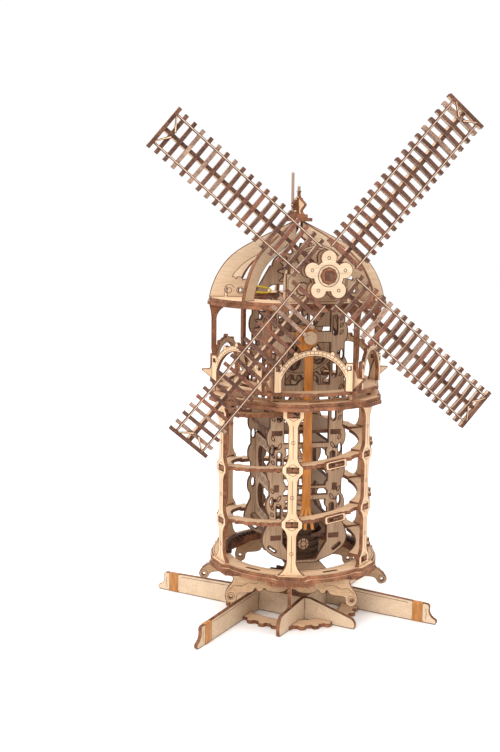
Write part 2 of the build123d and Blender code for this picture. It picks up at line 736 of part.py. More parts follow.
with BuildPart() as face_board:
    with BuildSketch(shaft_plane(BOARD_Y)):
        with Locations((0, (DOME_BASE + SHAFT_Z) / 2)):
            Rectangle(BOARD_WIDTH, SHAFT_Z - DOME_BASE)
        with Locations((0, SHAFT_Z)):
            Circle(BOARD_ROUND)
        with Locations((0, SHAFT_Z)):
            Circle(ROD_R + RUN_FIT, mode=Mode.SUBTRACT)
    extrude(amount=PLY)
    with BuildSketch(shaft_plane(BOARD_Y - PLY)):
        with Locations((0, SHAFT_Z)):
            with PolarLocations(17.5, 4, start_angle=45):
                Circle(BOSS_R)
    extrude(amount=PLY / 2)
save(face_board, "face_board")

with BuildPart() as dormer_cheeks:
    for side in (-1, 1):
        cheek = Plane(origin=(side * 23.0 - PLY / 2, 0, 0), x_dir=(0, 1, 0), z_dir=(1, 0, 0))
        with BuildSketch(cheek):
            with BuildLine():
                sill = Polyline((BOARD_Y, 313.0), (BOARD_Y, DOME_BASE), (-45.0, DOME_BASE), (-45.0, 296.0))
                ThreePointArc(sill @ 1, (-49.0, 306.0), sill @ 0)
            make_face()
        extrude(amount=PLY)
save(dormer_cheeks, "dormer_cheeks")

REAR_Y = 42.5               # front face of the rear bearing

with BuildPart() as rear_bearing:
    with BuildSketch(shaft_plane(REAR_Y + PLY)):
        with Locations((0, SHAFT_Z)):
            Circle(13.0)
        with Locations((0, 296.0)):
            Trapezoid(58.0, 25.0, 60)
        with Locations((0, DOME_BASE)):
            SlotOverall(34.0, 15.0, mode=Mode.SUBTRACT)
        with Locations((0, SHAFT_Z)):
            Circle(ROD_R + RUN_FIT, mode=Mode.SUBTRACT)
    extrude(amount=PLY)
save(rear_bearing, "rear_bearing")

CROWN_BOTTOM = 348.9
CROWN_TOP = CROWN_BOTTOM + 2 * PLY

with BuildPart() as crown:
    with BuildSketch(Plane.XY.offset(CROWN_BOTTOM)):
        Circle(10.0)
        with PolarLocations(10.0, 8):
            Circle(2.4)
    extrude(amount=PLY)
    with BuildSketch(Plane.XY.offset(CROWN_BOTTOM + PLY)):
        Circle(8.0)
    extrude(amount=PLY)
save(crown, "crown")


def finial_plate(azimuth, top, tip, slot_z):
    """One of the two crown plates, half-lapped with the other."""
    with BuildPart() as plate:
        with BuildSketch(radial_plane(azimuth)):
            with BuildLine():
                Line((0, CROWN_TOP), (6.5, CROWN_TOP))
                Spline((6.5, CROWN_TOP), (4.2, 358.5), (8.2, 363.0), (4.8, 366.5), (tip, top))
                Line((tip, top), (0, top))
                mirror(about=Plane.YZ)
            make_face()
            with Locations((0, slot_z)):
                Rectangle(PLY + 2 * SLIP, 18.0, mode=Mode.SUBTRACT)
        extrude(amount=PLY / 2, both=True)
    return plate.part


with BuildPart() as finial_plates:
    add(finial_plate(30, 375.0, 1.6, 353.0))
    add(finial_plate(-60, 369.0, 3.4, 371.0))
save(finial_plates, "finial_plates")

with BuildPart() as finial_rods:
    for place, top in (((-5.2, 1.4), 390.5), ((1.3, 4.8), 379.0)):
        with BuildSketch(Plane.XY.offset(CROWN_TOP)):
            with Locations(place):
                Circle(1.3)
        extrude(amount=top - CROWN_TOP)
save(finial_rods, "finial_rods")


# ------------------------------------------------- windshaft, wheels and hub

def wheel(y_front, height, teeth, phase, plies, windows):
    """Spur gear across a shaft that lies along Y."""
    pitch_r = MODULE * teeth / 2
    with BuildPart() as gear:
        with BuildSketch(shaft_plane(y_front + plies * PLY, height)):
            gear_face(teeth, phase)
            if windows:
                spoke_windows(windows, 9.5, pitch_r - 7.5)
            Circle(ROD_R, mode=Mode.SUBTRACT)
        extrude(amount=plies * PLY)
    return gear


def stop_rings(faces, height):
    """Collars that keep a shaft in place, one just inside each bearing plate."""
    for face in faces:
        with BuildSketch(shaft_plane(face, height)) as ring:
            Circle(6.0)
            Circle(ROD_R, mode=Mode.SUBTRACT)
        extrude(ring.sketch, amount=PLY)


HUB_BACK = SAIL_Y + 8.0     # rear face of the spars
SHAFT_END = 6.4             # the square front end of the windshaft
BOSS_DEPTH = 2.0
HUB_R = 12.5
HUB_LOBE_AT = 14.0
HUB_LOBE_R = 6.6

with BuildPart() as windshaft:
    with BuildSketch(shaft_plane(48.0, SHAFT_Z)):
        Circle(ROD_R)
    extrude(amount=48.0 - SAIL_Y + PLY)
    with BuildSketch(shaft_plane(SAIL_Y - PLY, SHAFT_Z)):
        Rectangle(SHAFT_END, SHAFT_END)
    extrude(amount=BOSS_DEPTH + 2.0)
save(windshaft, "windshaft")

save(wheel(-12.0, SHAFT_Z, PINION_TEETH, -90.0, 2, 0), "shaft_pinion")
save(wheel(-26.0, SHAFT_Z, BRAKE_TEETH, 0.0, 1, 6), "brake_wheel")

# Two five-lobed plates that clamp the spars, a boss in front and the spacer behind them
with BuildPart() as hub_plates:
    for back in (SAIL_Y, HUB_BACK + PLY):
        with BuildSketch(shaft_plane(back, SHAFT_Z)):
            Circle(HUB_R)
            with PolarLocations(HUB_LOBE_AT, 5, start_angle=90):
                Circle(HUB_LOBE_R)
            Circle(ROD_R, mode=Mode.SUBTRACT)
        extrude(amount=PLY)
    with BuildSketch(shaft_plane(SAIL_Y - PLY, SHAFT_Z)):
        RegularPolygon(6.6, 8)
        Rectangle(SHAFT_END, SHAFT_END, mode=Mode.SUBTRACT)
    extrude(amount=BOSS_DEPTH)
    with BuildSketch(shaft_plane(BOARD_Y - PLY - 0.5, SHAFT_Z)):
        Circle(6.0)
        Circle(ROD_R, mode=Mode.SUBTRACT)
    extrude(amount=BOARD_Y - PLY - 0.5 - HUB_BACK - PLY)
save(hub_plates, "hub_plates")


# ---------------------------------------------------------------- the sails

def arm_plane(arm, reach):
    """Plane across one arm: local X is across the sail, local Y is to the front."""
    turn = radians(SAIL_TURN + 90 * arm)
    along = Vector(cos(turn), 0, sin(turn))
    across = Vector(-sin(turn), 0, cos(turn))
    return Plane(origin=Vector(0, SAIL_Y, SHAFT_Z) + along * reach, x_dir=across, z_dir=along)


ARM_START = 5.5
ARM_END = SAIL_R - PLY
SPAR_DEPTH = 8.0
RAIL_WIDTH = 1.6
RAIL_FRONT = 1.9

with BuildPart() as sail_spars:
    with BuildSketch(*[arm_plane(arm, ARM_START) for arm in range(4)]):
        with Locations((0, -SPAR_DEPTH / 2)):
            Rectangle(PLY, SPAR_DEPTH)
    extrude(amount=ARM_END - ARM_START)
save(sail_spars, "sail_spars")

with BuildPart() as sail_rails:
    with BuildSketch(*[arm_plane(arm, 19.0) for arm in range(4)]):
        with Locations((RAIL_AT, RAIL_FRONT - 1.25), (-RAIL_AT, RAIL_FRONT - 1.25)):
            Rectangle(RAIL_WIDTH, 2.5)
    extrude(amount=ARM_END - 19.0)
save(sail_rails, "sail_rails")


def slat_face():
    """Shallow chevron with a notch behind for the spar and two in front for the rails."""
    with BuildLine() as edge:
        Polyline(
            (0, 3.0),
            (SLAT_HALF - 0.5, 1.3),
            (SLAT_HALF - 0.5, -3.4),
            (0, -2.6),
            (0.5 - SLAT_HALF, -3.4),
            (0.5 - SLAT_HALF, 1.3),
            close=True,
        )
    make_face(edge.edges())
    with Locations((0, -4.0 + SLIP)):
        Rectangle(PLY + 2 * SLIP, 8.0, mode=Mode.SUBTRACT)
    with Locations((RAIL_AT, RAIL_FRONT + 1.5), (-RAIL_AT, RAIL_FRONT + 1.5)):
        Rectangle(RAIL_WIDTH + 2 * SLIP, 8.0 + 2 * SLIP, mode=Mode.SUBTRACT)


for arm in range(4):
    with BuildPart() as slats:
        places = [arm_plane(arm, 22.0 - PLY / 2 + SLAT_PITCH * slat) for slat in range(SLATS)]
        with BuildSketch(*places):
            slat_face()
        extrude(amount=PLY)
    save(slats, f"sail_{arm + 1}_slats")

# End piece of each sail: a cross bar with two braces in front of the last slats
with BuildPart() as sail_tips:
    with BuildSketch(*[arm_plane(arm, ARM_END) for arm in range(4)]):
        with Locations((0, -0.8)):
            Rectangle(2 * SLAT_HALF, 5.6)
    extrude(amount=SAIL_R - ARM_END)
    for arm in range(4):
        face = arm_plane(arm, 0.0)
        front = Plane(origin=face.from_local_coords((0, 3.1, 0)), x_dir=face.z_dir, z_dir=face.y_dir)
        with BuildSketch(front):
            for side in (-1, 1):
                with BuildLine() as brace:
                    Polyline(
                        (163.6, side * 1.4),
                        (ARM_END + 0.6, side * 11.6),
                        (ARM_END + 0.6, side * 13.4),
                        (162.0, side * 2.6),
                        close=True,
                    )
                make_face(brace.edges())
        extrude(amount=1.5)
save(sail_tips, "sail_tips")


# ------------------------------------------------------- the wheels below it

FRAME_FACES = (-FRAME_Y + PLY / 2 + PLY + 0.4, FRAME_Y - PLY / 2 - 0.4)

with BuildPart() as gallery_axle:
    with BuildSketch(shaft_plane(42.0, GALLERY_Z)):
        Circle(ROD_R)
    extrude(amount=42.0 + 48.0)
    stop_rings(FRAME_FACES, GALLERY_Z)
save(gallery_axle, "gallery_axle")

save(wheel(-12.0, GALLERY_Z, GALLERY_TEETH, 90 + 180 / GALLERY_TEETH, 2, 7), "gallery_gear")
save(wheel(6.0, GALLERY_Z, PINION_TEETH, -90.0, 2, 0), "gallery_pinion")

# Hook sleeve at the front end of the gallery axle, where the rubber band hangs
with BuildPart() as band_sleeve:
    with BuildSketch(shaft_plane(-39.5, GALLERY_Z)):
        Circle(4.6)
        Circle(ROD_R, mode=Mode.SUBTRACT)
    extrude(amount=5.5)
    with BuildSketch(shaft_plane(-45.0, GALLERY_Z)):
        Circle(5.6)
        Circle(ROD_R, mode=Mode.SUBTRACT)
    extrude(amount=1.5)
save(band_sleeve, "band_sleeve")

with BuildPart() as lower_axle:
    with BuildSketch(shaft_plane(42.0, LOWER_Z)):
        Circle(ROD_R)
    extrude(amount=81.6)
    stop_rings(FRAME_FACES, LOWER_Z)
save(lower_axle, "lower_axle")

save(wheel(6.0, LOWER_Z, LOWER_TEETH, 90 + 180 / LOWER_TEETH, 2, 6), "lower_gear")


# -------------------------------------------------- winding barrel and band

BARREL_BOTTOM = 56.0
BARREL_PLIES = 9

with BuildPart() as winding_barrel:
    for ply in range(BARREL_PLIES):
        with BuildSketch(Plane.XY.offset(BARREL_BOTTOM + ply * PLY)):
            with Locations((0, BARREL_Y)):
                Circle(BARREL_R if ply % 2 == 0 else BARREL_R - 1.6)
        extrude(amount=PLY)
    with BuildSketch(Plane.XY.offset(29.6)):
        with Locations((0, BARREL_Y)):
            Circle(4.0)
    extrude(amount=BARREL_BOTTOM - 29.6)
    with BuildSketch(Plane.XY.offset(BAR_HEIGHT + 0.6)):
        with Locations((0, BARREL_Y)):
            Circle(4.0)
    extrude(amount=29.6 - BAR_HEIGHT - 0.6)
save(winding_barrel, "winding_barrel")

WINDING_TEETH = 22
with BuildPart() as winding_wheel:
    with BuildSketch(Plane(origin=(0, BARREL_Y, 32.6), x_dir=(1, 0, 0), z_dir=(0, 0, 1))):
        gear_face(WINDING_TEETH, 0.0)
        spoke_windows(5, 10.0, 20.0)
        Circle(4.0, mode=Mode.SUBTRACT)
    extrude(amount=PLY)
save(winding_wheel, "winding_wheel")

# The rubber band: a loop round the sleeve, a flat run down and three strands
BARREL_TOP = BARREL_BOTTOM + BARREL_PLIES * PLY
BAND_Y = -41.2
BAND_THICK = 1.8
SPLIT_Z = 104.0

with BuildPart() as motor_band:
    with BuildSketch(shaft_plane(BAND_Y + BAND_THICK / 2)):
        with Locations((-2.6, GALLERY_Z - 0.5)):
            Circle(10.2)
        with BuildLine():
            Polyline(
                (-12.4, GALLERY_Z - 3.5),
                (-3.7, GALLERY_Z - 16.0),
                (-3.7, SPLIT_Z),
                (3.7, SPLIT_Z),
                (3.7, GALLERY_Z - 12.0),
                (7.2, GALLERY_Z - 2.0),
                close=True,
            )
        make_face()
        with Locations((0, GALLERY_Z)):
            Circle(5.0, mode=Mode.SUBTRACT)
        for start, end in ((-2.4, -7.6), (0.0, -0.6), (2.4, 6.2)):
            with BuildLine() as strand:
                Polyline(
                    (start - 1.3, SPLIT_Z),
                    (end - 1.3, BARREL_TOP + 1.0),
                    (end + 1.3, BARREL_TOP + 1.0),
                    (start + 1.3, SPLIT_Z),
                    close=True,
                )
            make_face(strand.edges())
    extrude(amount=BAND_THICK)
save(motor_band, "motor_band")


# --------------------------------------------------------------- brake lever

LEVER_X = -30.0
LEVER_Z = 205.0

with BuildPart() as lever_pin:
    with BuildSketch(shaft_plane(-4.0, LEVER_Z)):
        with Locations((LEVER_X, 0)):
            Circle(2.0)
    extrude(amount=FRAME_Y + PLY / 2 - 4.0)
save(lever_pin, "lever_pin")


def link_face(start, end, radius):
    """Straight link with round ends."""
    middle = ((start[0] + end[0]) / 2, (start[1] + end[1]) / 2)
    span = Vector(end[0] - start[0], end[1] - start[1], 0)
    with Locations(middle):
        SlotCenterToCenter(span.length, 2 * radius, rotation=degrees(atan2(span.Y, span.X)))


with BuildPart() as brake_lever:
    with BuildSketch(shaft_plane(-7.5)):
        link_face((LEVER_X, LEVER_Z), (-44.0, 226.5), 2.8)
        link_face((LEVER_X, LEVER_Z), (-55.5, 212.5), 2.4)
        with Locations((LEVER_X, LEVER_Z)):
            Circle(5.5)
        with Locations((-55.5, 212.5)):
            Circle(3.4)
        with Locations((LEVER_X, LEVER_Z)):
            Circle(2.0 + RUN_FIT, mode=Mode.SUBTRACT)
    extrude(amount=PLY)
save(brake_lever, "brake_lever")
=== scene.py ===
import json
import math
import random

import bpy
import numpy as np
from mathutils import Matrix, Vector

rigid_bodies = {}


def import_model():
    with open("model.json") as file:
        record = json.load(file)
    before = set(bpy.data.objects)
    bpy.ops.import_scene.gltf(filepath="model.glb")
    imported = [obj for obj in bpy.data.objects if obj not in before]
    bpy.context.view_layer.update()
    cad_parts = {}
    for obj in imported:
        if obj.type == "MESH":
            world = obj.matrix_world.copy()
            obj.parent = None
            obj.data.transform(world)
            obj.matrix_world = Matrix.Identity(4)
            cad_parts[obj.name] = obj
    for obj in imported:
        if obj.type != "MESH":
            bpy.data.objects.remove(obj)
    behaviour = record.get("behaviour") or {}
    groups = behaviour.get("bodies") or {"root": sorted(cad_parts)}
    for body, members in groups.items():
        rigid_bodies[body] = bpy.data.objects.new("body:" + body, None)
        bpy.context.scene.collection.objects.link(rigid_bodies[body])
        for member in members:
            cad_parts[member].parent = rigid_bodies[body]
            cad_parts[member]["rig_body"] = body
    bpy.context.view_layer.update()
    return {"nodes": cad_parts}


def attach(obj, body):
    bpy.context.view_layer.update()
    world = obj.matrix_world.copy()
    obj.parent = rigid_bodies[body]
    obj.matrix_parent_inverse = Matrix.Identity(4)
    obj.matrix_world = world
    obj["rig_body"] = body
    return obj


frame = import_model()
nodes = frame["nodes"]
SEED = 11
random.seed(SEED)
MM = 0.001

# Sizes and places of the model in millimetres; the front looks along -Y
COLUMN_TURN = -16.0         # azimuth of the first column
BALCONY_TURN = -2.5         # azimuth of the first fence panel
COLUMNS = 6
COLUMN_FACE = 72.5          # outer faces of the columns, from the axis
COLUMN_BOTTOM = 56.0        # ends of the engraved line on a column
COLUMN_TOP = 192.0
FIRST_SLOT = 58.5           # lowest slot of the spiral
SLOT_RISE = 7.795           # from one slot of the spiral to the next
SLOTS = 18
FENCE_FACE = 68.5
ARCH_Z = 211.5              # centre of the fence arches
BASE_RING_TOP = 53.2
RIM_TOP = 209.3
DOME_RING_TOP = 283.5
POST_SLOTS = (98.0, 144.0, 188.0, 226.0, 262.0)
POST_LEAVES = (112.0, 158.0, 202.0)
FRAME_FACE = -38.5          # front of the inner frame
FRAME_SIDE = 27.5           # outer faces of its side plates
SIDE_LEAVES = (86.0, 118.5, 152.0)
SHAFT_Z = 307.0
GALLERY_Z = 252.0
LOWER_Z = 207.0
GALLERY_FACE = -12.0        # fronts of the wheels
LOWER_FACE = 6.0
BRAKE_FACE = -26.0
HUB_FACE = -95.0
BOSS_FACE = -95.5           # anything of the hub in front of this is burnt dark
SHAFT_END = -93.0           # and so is the shaft
DARK_POST_Z = 226.0         # posts are burnt dark above this
BOARD_FACE = -62.0
HALF_PLY = 1.5
BARREL_Y = -16.5
BARREL_SKIN = 18.72         # just outside the barrel
BADGE_BOTTOM = 64.5
BADGE_SIZE = 9.6


# ---------------------------------------------------------------- node helpers

class Shader:
    """A small builder of shader node trees."""

    def __init__(self, name):
        self.mat = bpy.data.materials.new(name)
        self.mat.use_nodes = True
        self.tree = self.mat.node_tree
        self.bsdf = self.tree.nodes["Principled BSDF"]

    def add(self, kind, **settings):
        node = self.tree.nodes.new(kind)
        for key, value in settings.items():
            setattr(node, key, value)
        return node

    def link(self, out, into):
        self.tree.links.new(out, into)

    def coords(self, scale):
        """Object coordinates, stretched by scale."""
        tex = self.add("ShaderNodeTexCoord")
        mapping = self.add("ShaderNodeMapping")
        mapping.inputs["Scale"].default_value = scale
        self.link(tex.outputs["Object"], mapping.inputs["Vector"])
        return mapping.outputs["Vector"]

    def noise(self, vector, scale=1.0, detail=3.0, rough=0.5, distort=0.0):
        node = self.add("ShaderNodeTexNoise")
        node.inputs["Scale"].default_value = scale
        node.inputs["Detail"].default_value = detail
        node.inputs["Roughness"].default_value = rough
        node.inputs["Distortion"].default_value = distort
        self.link(vector, node.inputs["Vector"])
        return node.outputs["Fac"]

    def ramp(self, fac, *stops):
        node = self.add("ShaderNodeValToRGB")
        ramp = node.color_ramp
        while len(ramp.elements) < len(stops):
            ramp.elements.new(0.5)
        for element, (place, colour) in zip(ramp.elements, stops):
            element.position = place
            element.color = (*colour, 1.0)
        self.link(fac, node.inputs["Fac"])
        return node.outputs["Color"]

    def multiply(self, share, a, b):
        """Colour a darkened by colour b."""
        node = self.add("ShaderNodeMix", data_type="RGBA", blend_type="MULTIPLY")
        node.inputs[0].default_value = share
        self.link(a, node.inputs[6])
        self.link(b, node.inputs[7])
        return node.outputs[2]

    def math(self, kind, a, b):
        node = self.add("ShaderNodeMath", operation=kind)
        for value, socket in ((a, node.inputs[0]), (b, node.inputs[1])):
            if isinstance(value, (int, float)):
                socket.default_value = value
            else:
                self.link(value, socket)
        return node.outputs[0]

    def bump(self, height, strength, distance):
        node = self.add("ShaderNodeBump")
        node.inputs["Strength"].default_value = strength
        node.inputs["Distance"].default_value = distance
        self.link(height, node.inputs["Height"])
        self.link(node.outputs["Normal"], self.bsdf.inputs["Normal"])

    def colour(self, out):
        self.link(out, self.bsdf.inputs["Base Color"])

    def rough(self, fac, low, high):
        node = self.add("ShaderNodeMapRange")
        node.inputs["To Min"].default_value = low
        node.inputs["To Max"].default_value = high
        self.link(fac, node.inputs["Value"])
        self.link(node.outputs["Result"], self.bsdf.inputs["Roughness"])


# Grain runs along one axis: X on plates that lie flat, Z on plates that stand, Y on the shafts
ALONG_X = (40.0, 900.0, 900.0)
ALONG_Z = (900.0, 900.0, 40.0)
ALONG_Y = (900.0, 40.0, 900.0)


def veneer(name, light, mid, dark, along):
    """Bare birch veneer: fine grain, broad figure, small pores."""
    s = Shader(name)
    vector = s.coords(along)
    grain = s.noise(vector, 1.0, 5.0, 0.62, 0.4)
    figure = s.noise(vector, 0.12, 2.0, 0.5, 0.8)
    cloud = s.noise(s.coords((14, 14, 14)), 1.0, 2.0)
    body = s.ramp(grain, (0.28, dark), (0.47, mid), (0.72, light))
    tint = s.ramp(figure, (0.3, (0.86, 0.82, 0.76)), (0.62, (1.0, 1.0, 1.0)))
    blend = s.multiply(0.7, body, tint)
    patch = s.ramp(cloud, (0.3, (0.93, 0.90, 0.86)), (0.6, (1.0, 1.0, 1.0)))
    s.colour(s.multiply(0.8, blend, patch))
    s.rough(grain, 0.72, 0.55)
    s.bump(grain, 0.25, 0.0002)
    s.bsdf.inputs["Specular IOR Level"].default_value = 0.3
    return s.mat


def burnt(name, light, mid, dark, along):
    """Laser-cut edge: brown soot with the plies showing as lines."""
    s = Shader(name)
    streak = s.noise(s.coords(along), 1.0, 4.0, 0.6)
    patch = s.noise(s.coords((90, 90, 90)), 1.0, 3.0, 0.6)
    both = s.math("MULTIPLY", s.math("ADD", streak, patch), 0.5)
    s.colour(s.ramp(both, (0.36, dark), (0.5, mid), (0.64, light)))
    s.rough(patch, 0.85, 0.6)
    s.bump(streak, 0.3, 0.0002)
    s.bsdf.inputs["Specular IOR Level"].default_value = 0.25
    return s.mat


def rubber(name, light, dark):
    """Translucent rubber with faint upright veins."""
    s = Shader(name)
    vein = s.noise(s.coords((300, 300, 60)), 1.0, 3.0, 0.6)
    s.colour(s.ramp(vein, (0.35, dark), (0.65, light)))
    s.rough(vein, 0.32, 0.5)
    s.bump(vein, 0.2, 0.0002)
    s.bsdf.inputs["Subsurface Weight"].default_value = 0.35
    s.bsdf.inputs["Subsurface Radius"].default_value = (0.004, 0.002, 0.0005)
    s.bsdf.inputs["Subsurface Scale"].default_value = 0.5
    return s.mat


BIRCH = ((0.82, 0.585, 0.385), (0.74, 0.505, 0.32), (0.57, 0.37, 0.22))
LEG = ((0.70, 0.53, 0.375), (0.63, 0.47, 0.325), (0.48, 0.345, 0.23))
SHADED = ((0.50, 0.325, 0.19), (0.42, 0.265, 0.152), (0.28, 0.168, 0.092))
# INNER_SHADE: birch darkened as painted shade for the inner frame and its gears, which stand inside the
# tower
INNER_SHADE = ((0.52, 0.36, 0.24), (0.41, 0.275, 0.18), (0.24, 0.15, 0.095))
GREY_TAN = ((0.50, 0.37, 0.29), (0.36, 0.255, 0.195), (0.20, 0.135, 0.10))
PALE_RAIL = ((0.74, 0.58, 0.46), (0.62, 0.47, 0.36), (0.42, 0.30, 0.22))
# SMOKE_AND_SHADE: near-black smoked wood for the winding barrel and wheel, and painted shade on the toothed
# ring inside the base
SMOKE_AND_SHADE = ((0.10, 0.048, 0.025), (0.065, 0.030, 0.015), (0.03, 0.014, 0.008))
SOOT = ((0.37, 0.15, 0.075), (0.20, 0.078, 0.037), (0.065, 0.025, 0.012))
DEEP_SOOT = ((0.19, 0.085, 0.052), (0.105, 0.045, 0.028), (0.04, 0.017, 0.011))
TAN_SOOT = ((0.40, 0.25, 0.18), (0.25, 0.15, 0.105), (0.10, 0.055, 0.038))
RED_SOOT = ((0.27, 0.105, 0.062), (0.16, 0.060, 0.036), (0.06, 0.022, 0.013))
SCORCH_BROWN = ((0.17, 0.075, 0.038), (0.10, 0.043, 0.022), (0.045, 0.019, 0.011))

flat_face = veneer("birch_flat", *BIRCH, ALONG_X)
tall_face = veneer("birch_tall", *BIRCH, ALONG_Z)
leg_face = veneer("birch_leg", *LEG, ALONG_X)
inner_shade_face = veneer("birch_inner_shade", *INNER_SHADE, ALONG_Z)
shaded_face = veneer("birch_shaded", *SHADED, ALONG_X)
slat_side = veneer("birch_slat", *GREY_TAN, ALONG_X)
rail_face = veneer("birch_rail", *PALE_RAIL, ALONG_X)
smoke_and_shade_face = veneer("smoke_and_shade_face", *SMOKE_AND_SHADE, ALONG_X)
edge = burnt("burnt_edge", *SOOT, (500, 500, 1400))
dark_edge = burnt("burnt_edge_deep", *DEEP_SOOT, (700, 700, 700))
smoke_and_shade_edge = burnt("smoke_and_shade_edge", *SMOKE_AND_SHADE, (700, 700, 1200))
scorch = burnt("scorch_line", *SCORCH_BROWN, (300, 300, 300))
tan_edge = burnt("burnt_edge_tan", *TAN_SOOT, (700, 700, 700))
red_edge = burnt("burnt_edge_red", *RED_SOOT, (700, 700, 700))
dowel = veneer("dowel", *LEG, ALONG_Y)
dowel_tall = veneer("dowel_tall", *GREY_TAN, ALONG_Z)
amber = rubber("amber_rubber", (0.58, 0.21, 0.016), (0.42, 0.135, 0.010))
leg_amber = rubber("leg_rubber", (0.52, 0.215, 0.045), (0.31, 0.118, 0.020))
lemon = rubber("lemon_rubber", (0.80, 0.60, 0.02), (0.66, 0.44, 0.01))


# ---------------------------------------------------------- meshes and edge lines

SCORCH = 0.5 * MM           # width of the burnt line along a rim
FRAME_SCORCH = 0.75 * MM
SCORCH_LIFT = 0.03 * MM     # above the veneer
FLOOR_SKIN = 0.5 * MM       # faces that rest on the floor lie below this
MITRE = 1.8                 # longest corner of a line, in line widths


def add_mesh(name, points, faces, material):
    """New object in the scene, with one material."""
    mesh = bpy.data.meshes.new(name)
    mesh.from_pydata(points, [], faces)
    mesh.materials.append(material)
    thing = bpy.data.objects.new(name, mesh)
    bpy.context.scene.collection.objects.link(thing)
    return thing


def solids(mesh):
    """Triangles, merged vertex places and the solid that each triangle belongs to."""
    places = np.empty(len(mesh.vertices) * 3)
    mesh.vertices.foreach_get("co", places)
    places = places.reshape(-1, 3)
    corners = np.empty(len(mesh.loops), int)
    mesh.loops.foreach_get("vertex_index", corners)
    triangles = corners.reshape(-1, 3)
    keys = np.round(places * 1e6).astype(np.int64)
    _, first, merged = np.unique(keys, axis=0, return_index=True, return_inverse=True)
    merged = merged.reshape(-1)
    triangles = merged[triangles]
    places = places[first]
    parent = list(range(len(places)))

    def root(i):
        while parent[i] != i:
            parent[i] = parent[parent[i]]
            i = parent[i]
        return i

    for a, b, c in triangles:
        ra, rb, rc = root(a), root(b), root(c)
        parent[rb] = ra
        parent[root(rc)] = ra
    owner = np.array([root(t[0]) for t in triangles])
    return places, triangles, owner


def plate_normals(places, triangles, owner, fixed=None):
    """Whether each triangle is on the veneer side of its plate, and the triangles' normals."""
    a, b, c = (places[triangles[:, k]] for k in range(3))
    cross = np.cross(b - a, c - a)
    area = np.linalg.norm(cross, axis=1)
    normal = cross / np.maximum(area, 1e-15)[:, None]
    veneer_side = np.zeros(len(triangles), bool)
    for solid in np.unique(owner):
        own = owner == solid
        if fixed is None:
            tensor = (normal[own] * area[own][:, None]).T @ normal[own]
            main = np.linalg.eigh(tensor)[1][:, 2]
            best = 0.0
            for candidate in normal[own][np.argsort(-area[own])[:40]]:
                share = area[own][np.abs(normal[own] @ candidate) > 0.98].sum()
                if share > best:
                    best, main = share, candidate
        else:
            main = np.array(fixed)
        veneer_side[own] = np.abs(normal[own] @ main) > 0.8
    return veneer_side, normal


def scorch_lines(name, body, places, triangles, veneer_side, normal, width):
    """Thin brown line along every rim of a veneer face, except a face that rests on the floor."""
    owners = {}
    for t, (a, b, c) in enumerate(triangles):
        for u, v in ((a, b), (b, c), (c, a)):
            owners.setdefault((min(u, v), max(u, v)), []).append(t)
    rims = []
    inward = {}
    for (u, v), ts in owners.items():
        fronts = [t for t in ts if veneer_side[t]]
        if len(ts) != 2 or len(fronts) != 1:
            continue
        t = fronts[0]
        n = normal[t]
        if n[2] < -0.9 and places[u][2] < FLOOR_SKIN:
            continue
        third = [k for k in triangles[t] if k not in (u, v)][0]
        along = places[v] - places[u]
        length = np.linalg.norm(along)
        if length < 1e-7:
            continue
        along = along / length
        side = np.cross(n, along)
        if side @ (places[third] - places[u]) < 0:
            side = -side
        key = tuple(np.round(n * 50).astype(int))
        rims.append((u, v, key, n))
        inward.setdefault((u, key), []).append(side)
        inward.setdefault((v, key), []).append(side)
    if not rims:
        return None
    points, quads, index = [], [], {}

    def corner(vertex, key, n):
        if (vertex, key) not in index:
            sides = inward[(vertex, key)]
            total = sum(sides)
            size = max(total @ total, 0.5)
            offset = total * (len(sides) / size) if len(sides) > 1 else total
            if np.linalg.norm(offset) > MITRE:
                offset = offset / np.linalg.norm(offset) * MITRE
            place = places[vertex] + n * SCORCH_LIFT
            index[(vertex, key)] = len(points)
            points.append(tuple(place))
            points.append(tuple(place + offset * width))
        return index[(vertex, key)]

    for u, v, key, n in rims:
        i, j = corner(u, key, n), corner(v, key, n)
        quads.append((i, j, j + 1, i + 1))
    thing = add_mesh(name, points, quads, scorch)
    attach(thing, body)
    return thing


# ------------------------------------------------------ what each CAD node wears

FLAT_NODES = {
    "balcony_floor", "balcony_rim", "base_ring_lower", "base_ring_upper", "crown", "dome_ring_lower",
    "dome_ring_upper", "floor_plates", "ramp_turn_1", "ramp_turn_2", "ramp_turn_3",
}
# near-black parts: smoked wood, and painted shade on the toothed ring
SMOKE_AND_SHADE_NODES = {"winding_barrel", "winding_wheel", "toothed_ring"}
RODS = {"windshaft", "gallery_axle", "lower_axle", "lever_pin", "band_sleeve"}
TALL_RODS = {"finial_rods"}
BANDS = {"leg_bands": leg_amber, "motor_band": amber}
FRAME_NODES = {
    "frame_side_plates", "frame_front", "frame_rear", "frame_shelves", "gallery_gear", "lower_gear",
    "gallery_pinion", "shaft_pinion", "brake_wheel", "rear_bearing",
}
LEG_NODES = {
    "base_bar_right", "base_bar_left", "base_bar_front", "base_bar_back", "dome_ribs", "hub_plates",
    "face_board", "dormer_cheeks",
}
SLATS = {f"sail_{arm}_slats" for arm in range(1, 5)}
DEEP_EDGE_NODES = SLATS | {"sail_spars", "sail_tips"}
# plates whose veneer side is named here, not found from their areas
FIXED = {"sail_rails": (0, 1, 0), "ramp_clips": (0.2419, -0.9703, 0)}

